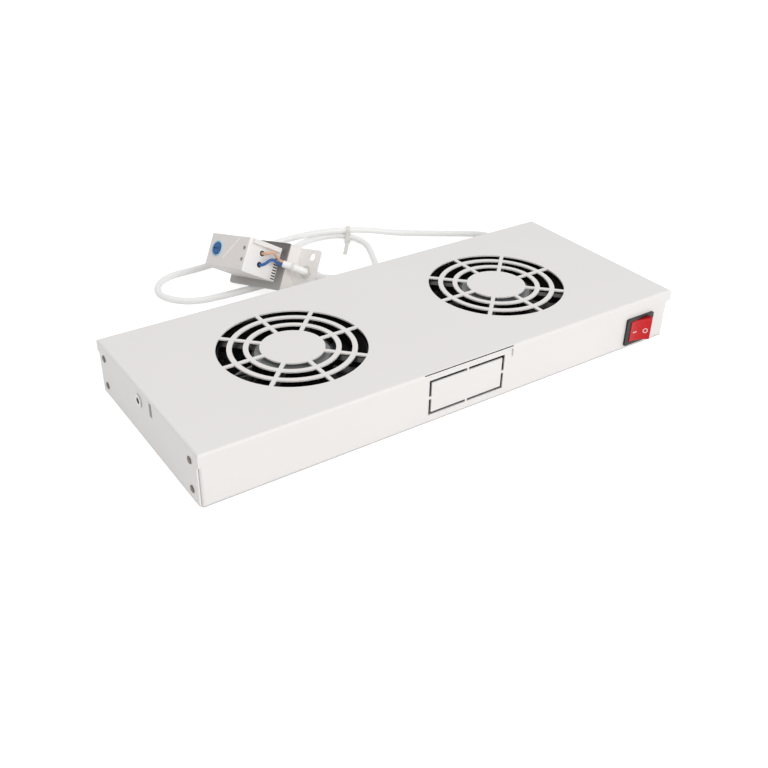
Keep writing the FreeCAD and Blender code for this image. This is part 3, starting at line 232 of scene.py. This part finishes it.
# %% [markdown]
# ## Small details
# Small relief that the solids leave out is added here: the printed I and O on the rocker, and on the thermostat
# the pale ring round its dial, the moulded crease across its front and the ledge over its terminals. Painted shade
# goes in as black pieces in its vents and core holes. The left end's slot has a turned lip, and a thin strip of
# painted shadow runs along the notch in the front lip. Each detail is a primitive that is put in place, given its
# place in its mesh, and set to ride with its body.

# %% Helpers for details
# The thermostat's own frame starts at a corner of its front: X runs to the terminals, Y to the bracket, Z up.
LIE = Matrix.Translation(mm(-66.9, 205.85, 54.2)) @ Euler((math.radians(-33.24), math.radians(-12.98),
                                                           math.radians(-77.3)), "XYZ").to_matrix().to_4x4()
# The rocker's frame has its pivot at the middle, and is turned as the rocker lies at rest.
ROCKER = Matrix.Translation(mm(188, -88, 16)) @ Matrix.Rotation(math.radians(-17), 4, "Z")
TRAY = Matrix.Identity(4)


def settle(name, body, frame_of, soften=0.0):
    """Name the active primitive, move it from its own frame, apply its place and let it ride with a body."""
    piece = bpy.context.object
    piece.name = name
    bpy.context.view_layer.update()
    piece.matrix_world = frame_of @ piece.matrix_world
    bpy.ops.object.select_all(action="DESELECT")
    piece.select_set(True)
    bpy.context.view_layer.objects.active = piece
    bpy.ops.object.transform_apply(location=True, rotation=True, scale=True)
    if soften:
        bevel = piece.modifiers.new("soften", "BEVEL")
        bevel.width = mm(soften)
        bevel.segments = 2
        bpy.ops.object.modifier_apply(modifier=bevel.name)
    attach(piece, body)


def small_block(place, size, turn=(0, 0, 0)):
    """A block of a size in millimetres about a point, turned by degrees."""
    bpy.ops.object.select_all(action="DESELECT")
    bpy.ops.mesh.primitive_cube_add(size=1, location=mm(*place), rotation=[math.radians(a) for a in turn])
    bpy.context.object.scale = mm(*size)


def small_ring(place, radius, half_thick, turn, segments=36):
    """A ring about a point, with the radius of its middle line and half its thickness, turned by degrees."""
    bpy.ops.object.select_all(action="DESELECT")
    bpy.ops.mesh.primitive_torus_add(major_radius=mm(radius), minor_radius=mm(half_thick), major_segments=segments,
                                     minor_segments=8, location=mm(*place), rotation=[math.radians(a) for a in turn])


# %% Marks on the rocker
# Each half of the rocker's face leans 12 degrees, and the marks lean with it.
FACE_LEAN = 12
MARK_Y = -4.85

small_block((-5.0, MARK_Y, -1), (4.0, 0.5, 0.9), (0, 0, FACE_LEAN))
settle("rocker_mark_on", "rocker", ROCKER)
small_ring((5.2, MARK_Y, -1), 1.9, 0.42, (90, 0, -FACE_LEAN))
settle("rocker_mark_off", "rocker", ROCKER)

# %% Relief on the thermostat
DIAL = (12.8, 0, -14.1)
HOUSING_END = 56  # the face with the terminals
CORE_DEPTH = 17
CORE_HEIGHTS = {"brown": -10.3, "blue": -20.7}

small_ring(DIAL, 6.7, 0.8, (90, 0, 0), segments=56)
settle("thermostat_dial_ring", "tray", LIE)
small_block((32.6, -0.05, -12.2), (26.0, 1.0, 1.5), (0, -49.3, 0))
settle("thermostat_crease", "tray", LIE, soften=0.25)
small_block((HOUSING_END + 2, 19.0, -2.3), (4.0, 32.0, 4.4))
settle("thermostat_ledge", "tray", LIE, soften=0.5)
# This black block inside the vents is painted shade, so the vents read deep and dark.
small_block((HOUSING_END - 1.7, 35.5, -19.7), (2.6, 4.4, 19.0))
settle("thermostat_vent_shadow", "tray", LIE)
# A black ring at each core's hole is painted shade for the hole's dark inside.
for core, height in CORE_HEIGHTS.items():
    small_ring((HOUSING_END, CORE_DEPTH, height), 2.05, 0.5, (0, 90, 0))
    settle(f"{core}_core_hole_shade", "tray", LIE)

# %% Relief on the tray
END_FACE = -222.5  # the outside of the left end panel

small_block((END_FACE - 0.35, -11.0, 35.75), (0.7, 1.9, 11.5))
settle("end_slot_lip", "tray", TRAY, soften=0.3)
# This thin black strip on the front bend is painted shadow, standing for the notch's slit.
small_block((1.5, -89.4, 43.4), (85, 0.75, 0.12), (45, 0, 0))
settle("lip_notch_shadow", "tray", TRAY)

# %% [markdown]
# ## Finishes
# Each finish starts from the real material and from how its surface was made. A principled shader carries it,
# and a small pattern in real millimetres breaks up its colour, its roughness and its surface.


# %% A base for the finishes
def finish(name, tint, roughness, metallic=0.0, ior=1.5, grain_mm=1.0, colour_spread=0.05, rough_spread=0.05,
           bump_mm=0.02, **sockets):
    """A principled finish: a fine noise varies its gloss and surface, and one 40 times as wide its colour."""
    material, tree = blank(name)
    where = add(tree, "ShaderNodeTexCoord")
    fine = add(tree, "ShaderNodeTexNoise", {"Scale": 1 / mm(grain_mm), "Detail": 2.0, "Roughness": 0.5},
               {"Vector": where.outputs["Object"]})
    broad = add(tree, "ShaderNodeTexNoise", {"Scale": 1 / mm(grain_mm * 40), "Detail": 2.0},
                {"Vector": where.outputs["Object"]})
    base = colour(tint)
    dark = tuple(c * (1 - colour_spread) for c in base[:3]) + (1,)
    light = tuple(min(1, c * (1 + colour_spread)) for c in base[:3]) + (1,)
    shade = add(tree, "ShaderNodeMix", {"data_type": "RGBA"}, {0: broad.outputs["Fac"]})
    shade.inputs[6].default_value = dark
    shade.inputs[7].default_value = light
    gloss = add(tree, "ShaderNodeMapRange", {"To Min": roughness - rough_spread, "To Max": roughness + rough_spread},
                {"Value": fine.outputs["Fac"]})
    relief = add(tree, "ShaderNodeBump", {"Strength": 1.0, "Distance": mm(bump_mm)}, {"Height": fine.outputs["Fac"]})
    body = add(tree, "ShaderNodeBsdfPrincipled", {"Metallic": metallic, "IOR": ior, **sockets},
               {"Base Color": shade.outputs[2], "Roughness": gloss.outputs[0], "Normal": relief.outputs[0]})
    add(tree, "ShaderNodeOutputMaterial", {}, {"Surface": body.outputs[0]})
    return material


def dress(material, *names):
    """Give a finish to every face of CAD solids or of new pieces."""
    for name in names:
        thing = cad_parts.get(name) or bpy.data.objects[name]
        thing.data.materials.clear()
        thing.data.materials.append(material)
        if thing.type == "MESH":
            for face in thing.data.polygons:
                face.material_index = 0


def thermostat_axes(tree):
    """The place on a surface in the thermostat's own frame, as X, Y and Z in metres."""
    where = add(tree, "ShaderNodeTexCoord")
    own = add(tree, "ShaderNodeMapping", {"vector_type": "TEXTURE"}, {"Vector": where.outputs["Object"]})
    own.inputs["Location"].default_value = LIE.to_translation()
    own.inputs["Rotation"].default_value = LIE.to_euler()
    return add(tree, "ShaderNodeSeparateXYZ", {}, {"Vector": own.outputs[0]})


def ramp(tree, source, start, end, low, high):
    """A value that runs from low to high while the source runs from start to end, in millimetres."""
    ends = {"From Min": mm(start), "From Max": mm(end), "To Min": low, "To Max": high}
    return add(tree, "ShaderNodeMapRange", ends, {"Value": source})


def overlay(tree, share, tint):
    """Blend a second colour over a finish's own colour by a share from 0 to 1."""
    body = next(node for node in tree.nodes if node.type == "BSDF_PRINCIPLED")
    first = body.inputs["Base Color"].links[0].from_socket
    toned = add(tree, "ShaderNodeMix", {"data_type": "RGBA"}, {0: share, 6: first})
    toned.inputs[7].default_value = colour(tint)
    tree.links.new(toned.outputs[2], body.inputs["Base Color"])


both = ("left", "right")

# %% [markdown]
# ### Powder-coated steel
# The folded sheet is sprayed with dry white polyester powder and baked. The film is about 0.08 mm thick and
# sets with a very faint orange-peel skin, so it is satin and not quite smooth. The bumps are 1.2 mm apart.

# %% Powder coat
powder = finish("white_powder_coat", "EDEAE8", 0.42, grain_mm=1.2, colour_spread=0.012, rough_spread=0.04,
                bump_mm=0.012)
dress(powder, "top_cover", "body_tray", "end_slot_lip")

# %% [markdown]
# ### Zinc-plated bracket
# The bracket is folded from bright zinc-plated strip. Zinc is a soft, slightly blue-white metal with a faint
# spangle. The plate behind the thermostat carries painted shade: it is tinted dark grey, less strongly towards
# one end, for the thermostat's shadow and the dark surroundings it mirrors, so it is darker than the foot.

# %% Zinc strip
zinc_strip = finish("zinc_plated_strip", "F2EFEC", 0.4, metallic=0.3, grain_mm=2.5, colour_spread=0.03,
                    rough_spread=0.08, bump_mm=0.006)
tree = zinc_strip.node_tree
axes = thermostat_axes(tree)
# Y is 38 mm at the rear plate and grows along the web to the foot, so the painted shade stops at the fold.
rear = ramp(tree, axes.outputs["Y"], 39.25, 40.5, 1.0, 0.0)
# The painted shade is full at Z = 10 mm and falls to about half at Z = -45 mm.
shade_fade = ramp(tree, axes.outputs["Z"], -45, 10, 0.55, 1.0)
painted_shade = add(tree, "ShaderNodeMath", {"operation": "MULTIPLY"}, {0: rear.outputs[0], 1: shade_fade.outputs[0]})
# The dark grey tint laid over the zinc here is painted shade and painted reflection.
overlay(tree, painted_shade.outputs[0], "5A5856")
dress(zinc_strip, "z_bracket")

# %% [markdown]
# ### Screws, inserts and motor metal
# The end screws are blackened in a hot bath, which leaves a thin dark oxide with the steel's sheen. The inserts,
# nuts and small screws are zinc plated, a bright metal with a slight grain. The motor's shaft and rotor ring are
# ground, its sleeves are pressed and sintered from bronze powder, its windings are dipped in varnish, and its
# cover is sprayed with grey enamel. The terminals are stamped from brass strip.

# %% Metals
black_oxide = finish("black_oxide_steel", "6A625C", 0.4, metallic=0.6, grain_mm=0.4, rough_spread=0.08, bump_mm=0.01)
dress(black_oxide, "end_screws")
zinc = finish("zinc_plated_steel", "C2C2BE", 0.34, metallic=1.0, grain_mm=0.5, rough_spread=0.1, bump_mm=0.008)
dress(zinc, "threaded_inserts", "terminal_block_screw", "earth_stud", "thermostat_screws",
      *[f"fan_{s}_{p}" for s in both for p in ("screws", "nuts")])
ground_steel = finish("ground_steel", "B4B4B2", 0.25, metallic=1.0, grain_mm=0.3, bump_mm=0.004)
dress(ground_steel, *[f"fan_{s}_{p}" for s in both for p in ("shaft", "rotor_ring")])
bronze = finish("sintered_bronze", "A8773F", 0.45, metallic=1.0, grain_mm=0.3, bump_mm=0.02)
dress(bronze, *[f"fan_{s}_bearings" for s in both])
brass = finish("stamped_brass", "C9A45A", 0.3, metallic=1.0, grain_mm=0.5, bump_mm=0.006)
dress(brass, "switch_terminals", "inlet_pins", "thermostat_terminals")
motor_enamel = finish("grey_motor_enamel", "8E8F90", 0.35, grain_mm=0.8, colour_spread=0.05, bump_mm=0.01)
dress(motor_enamel, *[f"fan_{s}_motor_plate" for s in both])
windings = finish("varnished_windings", "7A4A2A", 0.35, grain_mm=0.4, colour_spread=0.25, bump_mm=0.15)
dress(windings, *[f"fan_{s}_stator" for s in both])

# %% [markdown]
# ### Plastics and rubber
# The fans are black PBT, moulded in a polished tool, so they are glossy. The switch and the inlet are black
# polyamide, and the rocker is red polycarbonate with its I and O pad-printed in white. The thermostat is light
# grey ABS from a sparked tool, which leaves a fine matt grain; its base and its terminal end are a shade whiter,
# and its blue dial sits in a pale blue ring. The cable and its cores are extruded PVC, smooth and a little soft.
# The gland, the terminal block and the cable tie are natural nylon, milky and waxy. The seal and the bracket's
# grommet are moulded rubber, which is matt. The black pieces in the vents, in the cores' holes and along the
# lip's notch are painted shade, standing for the dark insides that only shade makes there.

# %% Plastics
fan_black = finish("black_pbt", "0A0A0B", 0.34, grain_mm=1.5, colour_spread=0.1, rough_spread=0.05, bump_mm=0.006)
dress(fan_black, *[f"fan_{s}_{p}" for s in both for p in ("frame", "impeller")])
switch_black = finish("black_polyamide", "121214", 0.38, grain_mm=0.4, rough_spread=0.06, bump_mm=0.01)
dress(switch_black, "switch_housing", "inlet_housing")
# This black is painted shade: it goes on stand-ins for the dark insides of vents, holes and a gap.
shade_black = finish("painted_shade_black", "050505", 0.9, grain_mm=0.4, bump_mm=0.002)
dress(shade_black, "thermostat_vent_shadow", "lip_notch_shadow", "brown_core_hole_shade", "blue_core_hole_shade")
rocker_red = finish("red_polycarbonate", "C8000E", 0.28, ior=1.4, grain_mm=3, colour_spread=0.04, rough_spread=0.02,
                    bump_mm=0.002)
dress(rocker_red, "switch_rocker")
nylon = finish("natural_nylon", "E6E5E0", 0.42, grain_mm=0.6, bump_mm=0.01)
dress(nylon, "gland_body", "gland_nut", "terminal_block", "cable_tie", "sheath_band")
rubber = finish("black_rubber", "1A1A1A", 0.7, grain_mm=0.4, bump_mm=0.02)
dress(rubber, "gland_seal")
white_rubber = finish("white_rubber", "DAD8D4", 0.6, grain_mm=0.4, bump_mm=0.02)
dress(white_rubber, "bracket_grommet")
stat_abs = finish("light_grey_abs", "EAE5E2", 0.5, grain_mm=0.5, colour_spread=0.02, bump_mm=0.015)
terminal_end = ramp(stat_abs.node_tree, thermostat_axes(stat_abs.node_tree).outputs["X"], HOUSING_END - 1.2,
                    HOUSING_END - 0.3, 0.0, 1.0)
overlay(stat_abs.node_tree, terminal_end.outputs[0], "FBF9F7")
dress(stat_abs, "thermostat_housing")
light_abs = finish("white_abs", "F8F5F2", 0.45, grain_mm=0.5, colour_spread=0.02, bump_mm=0.012)
dress(light_abs, "thermostat_base", "thermostat_crease", "thermostat_ledge")
ring_abs = finish("pale_blue_abs", "A9D0EA", 0.4, grain_mm=0.5, bump_mm=0.01)
dress(ring_abs, "thermostat_dial_ring")
print_white = finish("white_pad_print", "E9DADA", 0.5, grain_mm=0.4, bump_mm=0.004)
dress(print_white, "rocker_mark_on", "rocker_mark_off")
dial_blue = finish("blue_abs", "0F5A98", 0.4, grain_mm=0.6, bump_mm=0.006)
dress(dial_blue, "thermostat_dial")
pvc = finish("white_pvc", "FCFCFB", 0.36, grain_mm=1.2, colour_spread=0.015, bump_mm=0.015)
dress(pvc, "thermostat_cable", "lead_sheath_end", "lead_inside")
pvc_brown = finish("brown_pvc", "E2B698", 0.4, grain_mm=0.8, bump_mm=0.01)
dress(pvc_brown, "brown_core")
wire_brown = finish("brown_wire_pvc", "5A3420", 0.4, grain_mm=0.8, bump_mm=0.01)
dress(wire_brown, "live_wires", "fan_left_lead", "fan_right_lead")
pvc_blue = finish("blue_pvc", "2F62A8", 0.38, grain_mm=0.8, bump_mm=0.01)
dress(pvc_blue, "blue_core", "neutral_wires")
pvc_green = finish("green_yellow_pvc", "7FA83A", 0.38, grain_mm=0.8, bump_mm=0.01)
dress(pvc_green, "earth_wire")

# %% [markdown]
# ## Finish the lesson

# %% Finish
bpy.context.view_layer.update()
